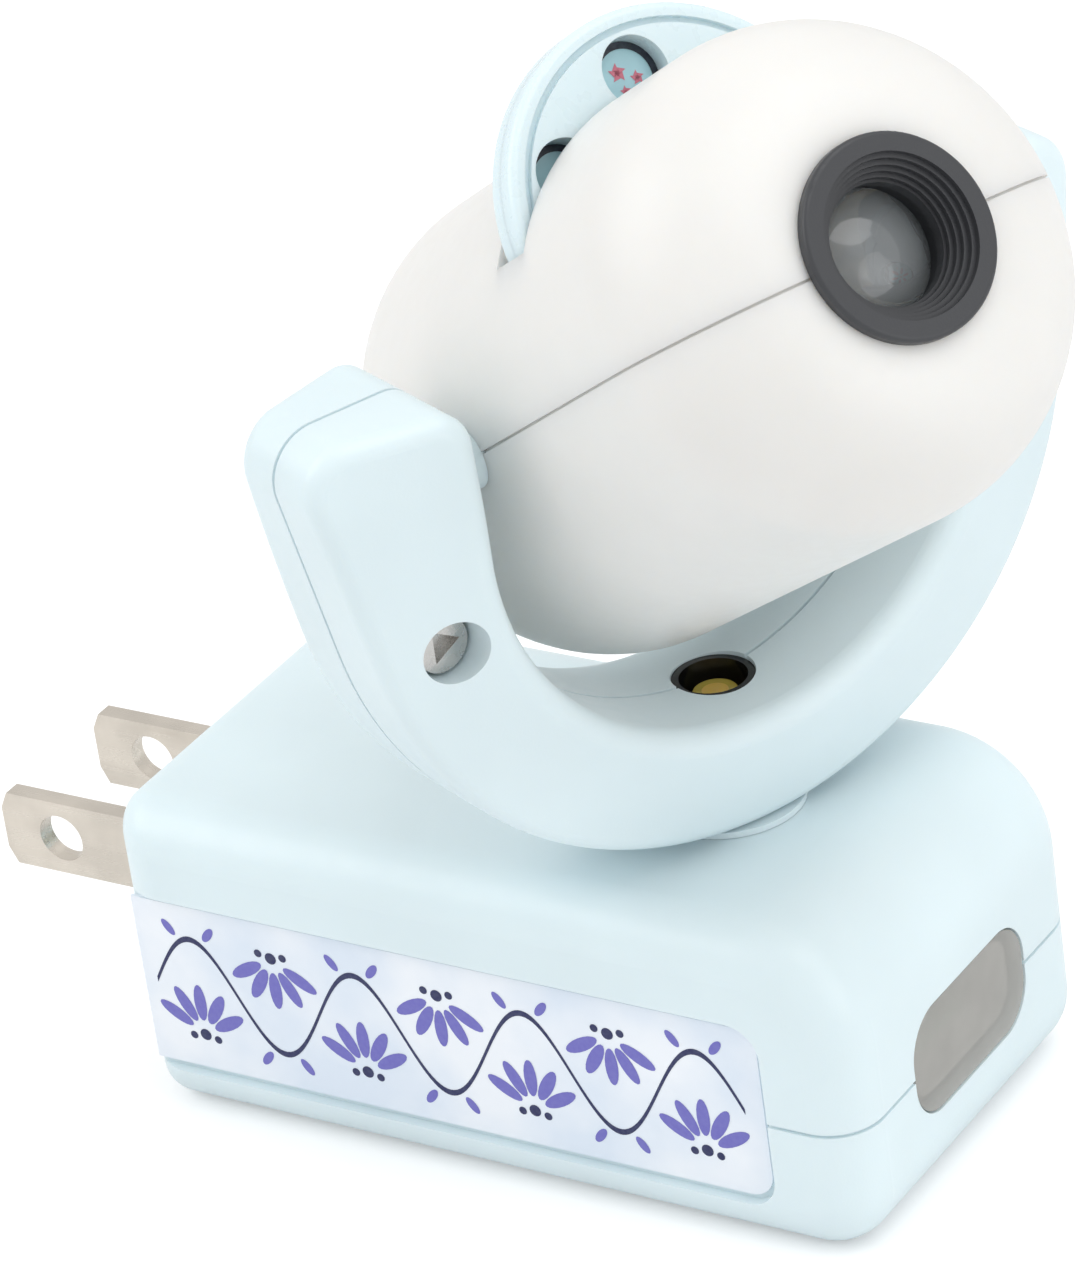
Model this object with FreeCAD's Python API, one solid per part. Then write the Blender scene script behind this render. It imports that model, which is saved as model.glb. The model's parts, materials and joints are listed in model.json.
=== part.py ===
import FreeCAD, Part
import math
import os

os.makedirs("parts", exist_ok=True)

Vector = FreeCAD.Vector

# Plug-in night light, in millimetres. The origin lies on the base's underside, straight below the
# swivel axis. +X leads away from the wall, +Y along the wall and +Z up. The yoke and the head are
# drawn square to the base in their own frames and turned into their rest pose at the end.

# Base
BASE_LENGTH = 63.4
BASE_WIDTH = 34.4
BASE_HEIGHT = 26.4
WALL_REACH = 45.0
BASE_WALL = 2.4
BASE_SIDE_ROUND = 4.0
BASE_WALL_END_ROUND = 2.5
BASE_FRONT_TOP_ROUND = 9.0
BASE_FRONT_BOTTOM_ROUND = 5.0
SEAM_HEIGHT = 11.2
LIP_HEIGHT = 1.2
LIP_WIDTH = 0.8

# Side label and its recess, open at the wall end
LABEL_LENGTH = 55.5
LABEL_LOW = 4.2
LABEL_HIGH = 18.6
LABEL_THICK = 0.3
LABEL_CORNER = 2.0
RECESS_DEPTH = 0.9
RECESS_MARGIN = 0.5

# Mains plug
BLADE_WIDTH = 6.35
BLADE_THICK = 1.5
BLADE_SPACING = 12.7
BLADE_LENGTH = 17.9
BLADE_HEIGHT = 15.3
BLADE_TAIL = 12.0
BLADE_CHAMFER = 1.4
BLADE_HOLE = 4.0
BLADE_HOLE_FROM_TIP = 5.4
CARRIER_LENGTH = 7.0
CARRIER_WIDTH = 16.6
CARRIER_HIGH = 11.0

# Light sensor in the outer end
WINDOW_WIDTH = 16.6
WINDOW_HEIGHT = 8.6
WINDOW_ROUND = 3.4
WINDOW_FLANGE = 1.2
WINDOW_THICK = 1.6
SENSOR_RADIUS = 2.5
SENSOR_LENGTH = 6.0

# Electronics in the base
BOARD_THICK = 1.6
BOARD_HEIGHT = 6.6
BOARD_START = -29.0
BOARD_END = 14.0
BOARD_WIDTH = 24.0
CAN_RADIUS = 4.0
CAN_LENGTH = 9.0
DROPPER_SIZE = (6.5, 13.0, 10.5)
RECTIFIER_SIZE = (4.6, 6.6, 2.6)

# Case screws, driven up through the lower shell
SCREW_RADIUS = 1.1
SCREW_HEAD_RADIUS = 2.1
SCREW_HEAD_THICK = 1.5
CASE_SCREW_LENGTH = 9.0
CASE_SCREW_WALL_X = -33.5
CASE_SCREW_FRONT_X = 12.0
CASE_SCREW_Y = 11.2
BOSS_RADIUS = 2.6

# Yoke: two halves that meet on its middle plane
YOKE_YAW = -22.5
YOKE_GAP = 0.6
YOKE_OUTER = 31.2
YOKE_INNER = 21.3
YOKE_HALF_DEPTH = 5.4
YOKE_FACE_SLOPE = 16.0
YOKE_WALL = 1.7
YOKE_EDGE_ROUND = 1.5
TIP_RISE = 11.5
ARM_FLARE = 12.0
TIP_ROUND = 3.6
TIP_INNER_ROUND = 2.6
YOKE_SCREW_ANGLE = 193.0
YOKE_SCREW_RING = 26.0
YOKE_SCREW_LENGTH = 7.0
COUNTERBORE_RADIUS = 2.4
SCREW_SEAT = 3.6

# Swivel between yoke and base
POST_RADIUS = 3.8
POST_BORE = 1.9
POST_FLANGE = 5.2
POST_FLANGE_THICK = 1.2
CLIP_RADIUS = 6.2
CLIP_THICK = 1.0
CLIP_GROOVE = 0.7

# Small lamp in the yoke's saddle
GLOW_RADIUS = 3.1
GLOW_BORE = 2.55
GLOW_DEPTH = 3.4

# Head: a capsule tilting on two bushes
PIVOT_RISE = 3.8
HEAD_TILT = 34.0
HEAD_RADIUS = 17.9
HEAD_WALL = 1.8
HEAD_REAR = -12.3
HEAD_DOME = 10.6
HEAD_SHOULDER = 8.5
HEAD_FRONT = 33.8
HEAD_FRONT_ROUND = 10.5
BUSH_RADIUS = 2.2
BUSH_BORE = 1.3
BUSH_FLANGE = 3.4
BUSH_FLANGE_THICK = 0.9

# Picture wheel
WHEEL_PLACE = 11.4
WHEEL_OFFSET = 9.5
WHEEL_RADIUS = 14.0
WHEEL_THICK = 3.4
WHEEL_GROOVE = 12.9
WHEEL_GROOVE_DEPTH = 0.5
WINDOW_COUNT = 6
PICTURE_RADIUS = 2.6
FILM_RADIUS = 3.1
FILM_THICK = 0.2
AXLE_RADIUS = 1.5
WHEEL_CLEAR = 0.5

# Focusing lens
BEZEL_RADIUS = 7.25
BEZEL_THICK = 0.9
BARREL_RADIUS = 6.4
BARREL_LENGTH = 9.0
LENS_RADIUS = 4.6
LENS_SEAT = 3.2
MOUTH_RADII = (5.8, 5.45, 5.1, 4.8, 4.5)
MOUTH_STEP = 0.45
FOCUS_TRAVEL = 3.0

# Lamp in the head
LAMP_PLACE = -4.0
LAMP_BOARD_RADIUS = 9.5
CHIP_RADIUS = 2.5
CHIP_LENGTH = 3.2
CONDENSER_RADIUS = 5.0
CONDENSER_PLACE = 4.5

# Fits
RUN = 0.05
GAP = 0.15
SEAM_GROOVE = 0.3

RING_HEIGHT = BASE_HEIGHT + YOKE_GAP + YOKE_OUTER
PIVOT_HEIGHT = RING_HEIGHT + PIVOT_RISE
TIP_HEIGHT = RING_HEIGHT + TIP_RISE
FRONT_X = BASE_LENGTH - WALL_REACH
HALF_WIDTH = BASE_WIDTH / 2
X_AXIS = Vector(1, 0, 0)
Y_AXIS = Vector(0, 1, 0)
Z_AXIS = Vector(0, 0, 1)


def save(name, shape):
    shape.exportStep("parts/" + name + ".step")


def block(low, high):
    """Box between two opposite corners."""
    size = [high[i] - low[i] for i in range(3)]
    return Part.makeBox(size[0], size[1], size[2], Vector(*low))


def rod(radius, length, start, axis):
    return Part.makeCylinder(radius, length, Vector(*start), axis)


def tube(outer, inner, length, start, axis):
    return rod(outer, length, start, axis).cut(rod(inner, length, start, axis))


def in_plane(points, origin, across, up):
    """Points of a flat outline, from its own two coordinates into space."""
    return [origin + across * a + up * b for a, b in points]


def plate(points, origin, across, up, thickness):
    """Flat outline with straight edges, thickened along the direction given."""
    corners = in_plane(points, origin, across, up)
    face = Part.Face(Part.makePolygon(corners + [corners[0]]))
    return face.extrude(thickness)


def rounded_plate(low, high, radius, origin, across, up, thickness):
    """Rectangle with four equal round corners, thickened along the direction given."""
    a0, b0 = low
    a1, b1 = high
    sides = [
        ((a0 + radius, b0), (a1 - radius, b0)),
        ((a1, b0 + radius), (a1, b1 - radius)),
        ((a1 - radius, b1), (a0 + radius, b1)),
        ((a0, b1 - radius), (a0, b0 + radius)),
    ]
    centres = [
        (a1 - radius, b0 + radius, -45),
        (a1 - radius, b1 - radius, 45),
        (a0 + radius, b1 - radius, 135),
        (a0 + radius, b0 + radius, 225),
    ]
    edges = []
    for i, (start, end) in enumerate(sides):
        p, q = in_plane([start, end], origin, across, up)
        edges.append(Part.makeLine(p, q))
        a, b, angle = centres[i]
        turn = math.radians(angle)
        middle = (a + radius * math.cos(turn), b + radius * math.sin(turn))
        following = sides[(i + 1) % 4][0]
        m, r = in_plane([middle, following], origin, across, up)
        edges.append(Part.Arc(q, m, r).toShape())
    return Part.Face(Part.Wire(edges)).extrude(thickness)


def turned(points):
    """Solid turned about the local X axis from (x, radius) points."""
    corners = [Vector(x, 0, r) for x, r in points]
    face = Part.Face(Part.makePolygon(corners + [corners[0]]))
    return face.revolve(Vector(0, 0, 0), X_AXIS, 360)


def edges_where(shape, test):
    return [edge for edge in shape.Edges if test(edge.BoundBox)]


def turn_yoke(shape):
    """From the yoke's own square frame into its rest pose over the base."""
    out = shape.copy()
    out.rotate(Vector(0, 0, 0), Z_AXIS, YOKE_YAW)
    return out


def turn_head(shape):
    """From the head's own frame, pivot at the origin and lens along +X, into its rest pose."""
    out = shape.copy()
    out.rotate(Vector(0, 0, 0), Y_AXIS, -HEAD_TILT)
    out.translate(Vector(0, 0, PIVOT_HEIGHT))
    return turn_yoke(out)


# Base shells

def base_block(inset):
    """Rounded block of the base, shrunk evenly by inset."""
    x0 = inset - WALL_REACH
    x1 = FRONT_X - inset
    z0 = inset
    z1 = BASE_HEIGHT - inset
    wall_end = max(BASE_WALL_END_ROUND - inset, 0.4)
    front_low = max(BASE_FRONT_BOTTOM_ROUND - inset, 0.4)
    front_top = max(BASE_FRONT_TOP_ROUND - inset, 0.4)
    side = max(BASE_SIDE_ROUND - inset, 0.4)
    half = HALF_WIDTH - inset
    solid = block((x0, -half, z0), (x1, half, z1))
    upright = {}
    for edge in solid.Edges:
        box = edge.BoundBox
        if box.YLength > half:
            upright[(box.XMin > 0, box.ZMin > z1 / 2)] = edge
    for key, radius in (
        ((True, True), front_top),
        ((True, False), front_low),
        ((False, True), wall_end),
        ((False, False), wall_end),
    ):
        near = upright[key].BoundBox.Center
        match = [e for e in solid.Edges if e.BoundBox.Center.distanceToPoint(near) < 1e-6]
        solid = solid.makeFillet(radius, match)
    flanks = edges_where(solid, lambda b: b.YLength < 1e-6)
    return solid.makeFillet(side, flanks)


def above_seam(margin):
    return block((-80, -80, SEAM_HEIGHT + margin), (80, 80, 80))


def below_seam(margin):
    return block((-80, -80, -80), (80, 80, SEAM_HEIGHT + margin))


def label_recess():
    """Shallow pocket in the -Y side that runs off the wall end."""
    origin = Vector(0, -HALF_WIDTH - 1, 0)
    low = (-WALL_REACH - 10, LABEL_LOW - RECESS_MARGIN)
    high = (LABEL_LENGTH - WALL_REACH + RECESS_MARGIN, LABEL_HIGH + RECESS_MARGIN)
    depth = Vector(0, 1 + RECESS_DEPTH, 0)
    return rounded_plate(low, high, LABEL_CORNER + RECESS_MARGIN, origin, X_AXIS, Z_AXIS, depth)


def window_shape(growth, start, depth):
    """Rounded window outline in the outer end, from start along +X."""
    half = WINDOW_WIDTH / 2 + growth
    rise = WINDOW_HEIGHT / 2 + growth
    origin = Vector(start, 0, SEAM_HEIGHT)
    turn = Vector(depth, 0, 0)
    return rounded_plate((-half, -rise), (half, rise), WINDOW_ROUND + growth, origin, Y_AXIS, Z_AXIS, turn)


def blade_slots():
    wide = BLADE_WIDTH / 2 + GAP
    thick = BLADE_THICK / 2 + GAP
    slots = []
    for side in (-1, 1):
        y = side * BLADE_SPACING / 2
        low = (-WALL_REACH - 1, y - thick, BLADE_HEIGHT - wide)
        high = (-WALL_REACH + BASE_WALL + 1, y + thick, BLADE_HEIGHT + wide)
        slots.append(block(low, high))
    return slots[0].fuse(slots[1])


def case_screw_places():
    xs = (CASE_SCREW_WALL_X, CASE_SCREW_FRONT_X)
    return [(x, side * CASE_SCREW_Y) for x in xs for side in (-1, 1)]


def upper_shell():
    shell = base_block(0).cut(base_block(BASE_WALL)).common(above_seam(0))
    rebate = base_block(BASE_WALL - LIP_WIDTH - GAP).common(below_seam(LIP_HEIGHT + GAP))
    shell = shell.cut(rebate)
    cavity = base_block(BASE_WALL - 0.2)
    for x, y in case_screw_places():
        post_low = SEAM_HEIGHT + LIP_HEIGHT + 2 * GAP
        post = rod(BOSS_RADIUS, BASE_HEIGHT, (x, y, post_low), Z_AXIS)
        shell = shell.fuse(post.common(cavity))
    collar_low = BASE_HEIGHT - BASE_WALL - 1.2
    collar = rod(POST_RADIUS + 2.2, 1.4, (0, 0, collar_low), Z_AXIS)
    shell = shell.fuse(collar)
    for x, y in case_screw_places():
        shell = shell.cut(rod(SCREW_RADIUS, 9.0, (x, y, SEAM_HEIGHT), Z_AXIS))
    shell = shell.cut(rod(POST_RADIUS + RUN, 30, (0, 0, SEAM_HEIGHT + 5), Z_AXIS))
    shell = shell.cut(label_recess())
    shell = shell.cut(blade_slots())
    shell = shell.cut(window_shape(GAP, FRONT_X - BASE_WALL - 2, BASE_WALL + 4))
    return shell.removeSplitter()


def lower_shell():
    shell = base_block(0).cut(base_block(BASE_WALL)).common(below_seam(0))
    rim = base_block(BASE_WALL - LIP_WIDTH).cut(base_block(BASE_WALL))
    rim = rim.common(below_seam(LIP_HEIGHT)).common(above_seam(-1))
    rim = rim.cut(block((-80, -9.5, SEAM_HEIGHT), (0, 9.5, 30)))
    shell = shell.fuse(rim)
    cavity = base_block(BASE_WALL - 0.2)
    for x, y in case_screw_places():
        boss = rod(BOSS_RADIUS, SEAM_HEIGHT, (x, y, 0), Z_AXIS)
        shell = shell.fuse(boss.common(cavity))
    for x, y in board_post_places():
        post = rod(1.6, BOARD_HEIGHT - BASE_WALL + 0.2, (x, y, BASE_WALL - 0.2), Z_AXIS)
        shell = shell.fuse(post)
    for low, high in carrier_rest_blocks():
        shell = shell.fuse(block(low, high))
    for x, y in case_screw_places():
        shell = shell.cut(rod(SCREW_RADIUS + GAP, SEAM_HEIGHT + 2, (x, y, -1), Z_AXIS))
        shell = shell.cut(rod(SCREW_HEAD_RADIUS + GAP, SCREW_HEAD_THICK + 1.7, (x, y, -1), Z_AXIS))
    skin = block((-80, -80, SEAM_HEIGHT - SEAM_GROOVE), (80, 80, SEAM_HEIGHT)).cut(base_block(SEAM_GROOVE))
    shell = shell.cut(skin)
    shell = shell.cut(label_recess())
    shell = shell.cut(window_shape(GAP, FRONT_X - BASE_WALL - 2, BASE_WALL + 4))
    return shell.removeSplitter()


def base_label():
    origin = Vector(0, RECESS_DEPTH - HALF_WIDTH - LABEL_THICK, 0)
    low = (-WALL_REACH - 20, LABEL_LOW)
    high = (LABEL_LENGTH - WALL_REACH, LABEL_HIGH)
    whole = rounded_plate(low, high, LABEL_CORNER, origin, X_AXIS, Z_AXIS, Vector(0, LABEL_THICK, 0))
    return whole.common(block((-WALL_REACH + 1.2, -80, 0), (80, 80, 80)))


# Mains plug

def blade(side):
    y = side * BLADE_SPACING / 2 - BLADE_THICK / 2
    tip = -WALL_REACH - BLADE_LENGTH
    tail = -WALL_REACH + BLADE_TAIL
    half = BLADE_WIDTH / 2
    outline = [
        (tip + BLADE_CHAMFER * 0.5, -half),
        (tip, -half + BLADE_CHAMFER),
        (tip, half - BLADE_CHAMFER),
        (tip + BLADE_CHAMFER * 0.5, half),
        (-WALL_REACH + BASE_WALL + 1, half),
        (-WALL_REACH + BASE_WALL + 1, half - 1.4),
        (tail, half - 1.4),
        (tail, -half + 1.4),
        (-WALL_REACH + BASE_WALL + 1, -half + 1.4),
        (-WALL_REACH + BASE_WALL + 1, -half),
    ]
    origin = Vector(0, y, BLADE_HEIGHT)
    solid = plate(outline, origin, X_AXIS, Z_AXIS, Vector(0, BLADE_THICK, 0))
    hole = rod(BLADE_HOLE / 2, 4, (tip + BLADE_HOLE_FROM_TIP, y - 1, BLADE_HEIGHT), Y_AXIS)
    return solid.cut(hole)


def blade_carrier():
    start = -WALL_REACH + BASE_WALL + 1.2
    half = CARRIER_WIDTH / 2
    low = (start, -half, BLADE_HEIGHT - CARRIER_HIGH / 2)
    high = (start + CARRIER_LENGTH, half, BLADE_HEIGHT + CARRIER_HIGH / 2)
    solid = block(low, high)
    neck = BLADE_WIDTH / 2 - 1.4 + RUN
    for side in (-1, 1):
        y = side * BLADE_SPACING / 2
        thick = BLADE_THICK / 2 + RUN
        slot = block((start - 1, y - thick, BLADE_HEIGHT - neck), (0, y + thick, BLADE_HEIGHT + neck))
        solid = solid.cut(slot)
    centre = block((start - 1, -2.5, BLADE_HEIGHT - 2.5), (start + 3, 2.5, BLADE_HEIGHT + 2.5))
    return solid.cut(centre)


def carrier_rest_blocks():
    """Two ledges on the lower shell's floor that carry the blade carrier."""
    start = -WALL_REACH + BASE_WALL + 1.4
    top = BLADE_HEIGHT - CARRIER_HIGH / 2 - 0.1
    ledges = []
    for side in (-1, 1):
        y0 = side * 5.0 - 1.0
        ledges.append(((start, y0, BASE_WALL - 0.3), (start + CARRIER_LENGTH - 0.6, y0 + 2.0, top)))
    return ledges


# Light sensor and electronics

def sensor_window():
    inner = FRONT_X - BASE_WALL
    face = window_shape(0, inner - 0.2, BASE_WALL + 0.1)
    flange = window_shape(WINDOW_FLANGE, inner - 0.2 - WINDOW_THICK, WINDOW_THICK)
    hollow = window_shape(-1.0, inner - 3, BASE_WALL + 2.1)
    return face.fuse(flange).cut(hollow)


def light_sensor():
    tip = FRONT_X - BASE_WALL - 1.4
    body = rod(SENSOR_RADIUS, SENSOR_LENGTH - SENSOR_RADIUS, (tip - SENSOR_LENGTH, 0, SEAM_HEIGHT), X_AXIS)
    dome = Part.makeSphere(SENSOR_RADIUS, Vector(tip - SENSOR_RADIUS, 0, SEAM_HEIGHT))
    rim = rod(SENSOR_RADIUS + 0.4, 0.9, (tip - SENSOR_LENGTH, 0, SEAM_HEIGHT), X_AXIS)
    return body.fuse(dome).fuse(rim)


def board_post_places():
    xs = (BOARD_START + 2.5, BOARD_END - 9.5)
    return [(x, side * (BOARD_WIDTH / 2 - 2.2)) for x in xs for side in (-1, 1)]


def circuit_board():
    half = BOARD_WIDTH / 2
    solid = block((BOARD_START, -half, BOARD_HEIGHT + 0.05), (BOARD_END, half, BOARD_HEIGHT + BOARD_THICK))
    for x, y in case_screw_places():
        solid = solid.cut(rod(BOSS_RADIUS + 0.6, 20, (x, y, 0), Z_AXIS))
    return solid


def filter_capacitor():
    top = BOARD_HEIGHT + BOARD_THICK + 0.05
    body = rod(CAN_RADIUS, CAN_LENGTH, (-22.5, 5.5, top), Z_AXIS)
    groove = tube(CAN_RADIUS + 1, CAN_RADIUS - 0.3, 0.6, (-22.5, 5.5, top + 1.2), Z_AXIS)
    return body.cut(groove)


def board_box(size, centre_x, centre_y):
    top = BOARD_HEIGHT + BOARD_THICK + 0.05
    low = (centre_x - size[0] / 2, centre_y - size[1] / 2, top)
    high = (centre_x + size[0] / 2, centre_y + size[1] / 2, top + size[2])
    return block(low, high)


def dropper_capacitor():
    body = board_box(DROPPER_SIZE, -13.0, 0)
    return body.makeFillet(0.8, body.Edges)


def rectifier():
    return board_box(RECTIFIER_SIZE, -22.5, -6.0)


def case_screw(x, y):
    head_low = 0.7
    head = rod(SCREW_HEAD_RADIUS, SCREW_HEAD_THICK, (x, y, head_low), Z_AXIS)
    shank = rod(SCREW_RADIUS - RUN, CASE_SCREW_LENGTH + 5, (x, y, head_low), Z_AXIS)
    socket = triangle_prism(1.1, x, y, head_low - 0.1, 1.0)
    return head.fuse(shank).cut(socket)


def triangle_prism(radius, x, y, z, depth):
    points = []
    for i in range(3):
        angle = math.radians(90 + 120 * i)
        points.append((radius * math.cos(angle), radius * math.sin(angle)))
    return plate(points, Vector(x, y, z), X_AXIS, Y_AXIS, Vector(0, 0, depth))


# Yoke, drawn with its front along +X and its arms at -Y and +Y

def yoke_outline(inset, depth):
    """Solid U from the middle plane outwards, both outlines moved in by inset."""
    outer = YOKE_OUTER - inset
    inner = YOKE_INNER + inset
    lean = math.radians(ARM_FLARE)
    bend_y = outer * math.cos(lean)
    bend_z = RING_HEIGHT - outer * math.sin(lean)
    top = TIP_HEIGHT - inset
    tip_y = bend_y + (top - bend_z) * math.tan(lean)
    origin = Vector(0, 0, 0)

    def at(y, z):
        return in_plane([(y, z)], origin, Y_AXIS, Z_AXIS)[0]

    edges = [
        Part.Arc(at(-bend_y, bend_z), at(0, RING_HEIGHT - outer), at(bend_y, bend_z)).toShape(),
        Part.makeLine(at(bend_y, bend_z), at(tip_y, top)),
        Part.makeLine(at(tip_y, top), at(inner, top)),
        Part.makeLine(at(inner, top), at(inner, RING_HEIGHT)),
        Part.Arc(at(inner, RING_HEIGHT), at(0, RING_HEIGHT - inner), at(-inner, RING_HEIGHT)).toShape(),
        Part.makeLine(at(-inner, RING_HEIGHT), at(-inner, top)),
        Part.makeLine(at(-inner, top), at(-tip_y, top)),
        Part.makeLine(at(-tip_y, top), at(-bend_y, bend_z)),
    ]
    solid = Part.Face(Part.Wire(edges)).extrude(Vector(depth, 0, 0))

    def outer_corner(box):
        at_tip = box.ZMin > top - 0.1 and box.XLength > abs(depth) / 2
        return at_tip and max(abs(box.YMin), abs(box.YMax)) > tip_y - 0.1

    def inner_corner(box):
        at_tip = box.ZMin > top - 0.1 and box.XLength > abs(depth) / 2
        return at_tip and max(abs(box.YMin), abs(box.YMax)) < inner + 0.1

    solid = solid.makeFillet(max(TIP_ROUND - inset, 0.3), edges_where(solid, outer_corner))
    return solid.makeFillet(max(TIP_INNER_ROUND - inset, 0.3), edges_where(solid, inner_corner))


def yoke_screw_place(side):
    angle = math.radians(YOKE_SCREW_ANGLE)
    y = side * YOKE_SCREW_RING * math.cos(angle) * -1
    z = RING_HEIGHT + YOKE_SCREW_RING * math.sin(angle)
    return y, z


def yoke_blank(sign, inset):
    """Solid half yoke whose face is a shallow cone that leans back towards the rim."""
    slope = math.tan(math.radians(YOKE_FACE_SLOPE))
    reach = YOKE_OUTER + 15
    rim_depth = YOKE_HALF_DEPTH - inset - 15 * slope
    peak = rim_depth + reach * slope
    cone = turned([(0, 0), (peak * sign, 0), (rim_depth * sign, reach), (0, reach)])
    cone.translate(Vector(0, 0, RING_HEIGHT))
    return yoke_outline(inset, sign * 30).common(cone).removeSplitter()


def on_face(edge, sign):
    """True for an edge that lies on the leaning face, clear of the middle plane."""
    box = edge.BoundBox
    return (box.XMin if sign > 0 else -box.XMax) > 1


def yoke_body(sign):
    """Hollow half of the yoke, on the +X side for sign 1 and the -X side for sign -1."""
    solid = yoke_blank(sign, 0)
    rim = [edge for edge in solid.Edges if on_face(edge, sign)]
    solid = solid.makeFillet(YOKE_EDGE_ROUND, rim)
    hollow = yoke_blank(sign, YOKE_WALL)
    for side in (-1, 1):
        y, z = yoke_screw_place(side)
        post = rod(COUNTERBORE_RADIUS + 1.2, 20, (0, y, z), X_AXIS * sign)
        hollow = hollow.cut(post)
    solid = solid.cut(hollow)
    for side in (-1, 1):
        near = YOKE_INNER - 2
        bore = rod(BUSH_RADIUS + RUN, YOKE_WALL + 4, (0, side * near, PIVOT_HEIGHT), Y_AXIS * side)
        solid = solid.cut(bore)
    floor = RING_HEIGHT - YOKE_OUTER
    solid = solid.cut(rod(POST_RADIUS, 6, (0, 0, floor - 1), Z_AXIS))
    saddle = RING_HEIGHT - YOKE_INNER
    return solid.cut(rod(GLOW_RADIUS + RUN, 6, (0, 0, saddle - 3), Z_AXIS))


def yoke_front():
    solid = yoke_body(1)
    for side in (-1, 1):
        y, z = yoke_screw_place(side)
        solid = solid.cut(rod(SCREW_RADIUS + GAP, 20, (-1, y, z), X_AXIS))
        solid = solid.cut(rod(COUNTERBORE_RADIUS, 9, (SCREW_SEAT, y, z), X_AXIS))
    return solid.removeSplitter()


def yoke_rear():
    solid = yoke_body(-1)
    for side in (-1, 1):
        y, z = yoke_screw_place(side)
        solid = solid.cut(rod(SCREW_RADIUS, YOKE_HALF_DEPTH + 0.2, (1, y, z), -X_AXIS))
    skin = yoke_outline(-0.5, -SEAM_GROOVE).cut(yoke_outline(SEAM_GROOVE, -SEAM_GROOVE))
    return solid.cut(skin).removeSplitter()


def yoke_screw(side):
    y, z = yoke_screw_place(side)
    seat = SCREW_SEAT
    head = rod(SCREW_HEAD_RADIUS, SCREW_HEAD_THICK, (seat, y, z), X_AXIS)
    shank = rod(SCREW_RADIUS - RUN, YOKE_SCREW_LENGTH + 0.1, (seat + 0.1, y, z), -X_AXIS)
    points = []
    for i in range(3):
        angle = math.radians(120 * i)
        points.append((1.45 * math.cos(angle), 1.45 * math.sin(angle)))
    origin = Vector(seat + SCREW_HEAD_THICK - 0.9, y, z)
    socket = plate(points, origin, Y_AXIS, Z_AXIS, Vector(1.2, 0, 0))
    return head.fuse(shank).cut(socket)


# Swivel

def swivel_post():
    floor = RING_HEIGHT - YOKE_OUTER
    low = BASE_HEIGHT - BASE_WALL - 4.6
    flange_low = floor + YOKE_WALL + 0.6
    flat = YOKE_HALF_DEPTH - YOKE_WALL + 0.3
    high = flange_low + POST_FLANGE_THICK
    solid = rod(POST_RADIUS, high - low, (0, 0, low), Z_AXIS)
    flange = rod(POST_FLANGE, POST_FLANGE_THICK, (0, 0, flange_low), Z_AXIS)
    solid = solid.fuse(flange.common(block((-flat, -20, 0), (flat, 20, 80))))
    groove_low = BASE_HEIGHT - BASE_WALL - 1.2 - RUN - CLIP_THICK - 0.05
    groove = tube(POST_RADIUS + 1, POST_RADIUS - CLIP_GROOVE, CLIP_THICK + 0.05, (0, 0, groove_low), Z_AXIS)
    solid = solid.cut(groove)
    return solid.cut(rod(POST_BORE, 40, (0, 0, low - 1), Z_AXIS))


def swivel_washer():
    outer = POST_RADIUS + 2.0
    return tube(outer, POST_RADIUS + RUN, YOKE_GAP - 2 * RUN, (0, 0, BASE_HEIGHT + RUN), Z_AXIS)


def swivel_clip():
    top = BASE_HEIGHT - BASE_WALL - 1.2 - RUN
    inner = POST_RADIUS - CLIP_GROOVE + 0.02
    ring = tube(CLIP_RADIUS, inner, CLIP_THICK, (0, 0, top - CLIP_THICK), Z_AXIS)
    mouth = block((0, -inner * 0.8, top - 3), (20, inner * 0.8, top + 1))
    return ring.cut(mouth)


# Small lamp in the saddle

def glow_sleeve():
    top = RING_HEIGHT - YOKE_INNER - 0.1
    sleeve = tube(GLOW_RADIUS, GLOW_BORE, GLOW_DEPTH, (0, 0, top - GLOW_DEPTH), Z_AXIS)
    lip = tube(GLOW_RADIUS + 0.7, GLOW_BORE, 0.8, (0, 0, top - GLOW_DEPTH), Z_AXIS)
    return sleeve.fuse(lip)


def glow_led():
    top = RING_HEIGHT - YOKE_INNER - 1.3
    low = top - 4.2
    body = rod(GLOW_BORE - RUN, top - low - 1.4, (0, 0, low), Z_AXIS)
    nose = Part.makeCone(GLOW_BORE - RUN, GLOW_BORE - 0.9, 1.4, Vector(0, 0, top - 1.4), Z_AXIS)
    return body.fuse(nose)


# Head, drawn with its lens along +X and the picture wheel towards +Z

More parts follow.
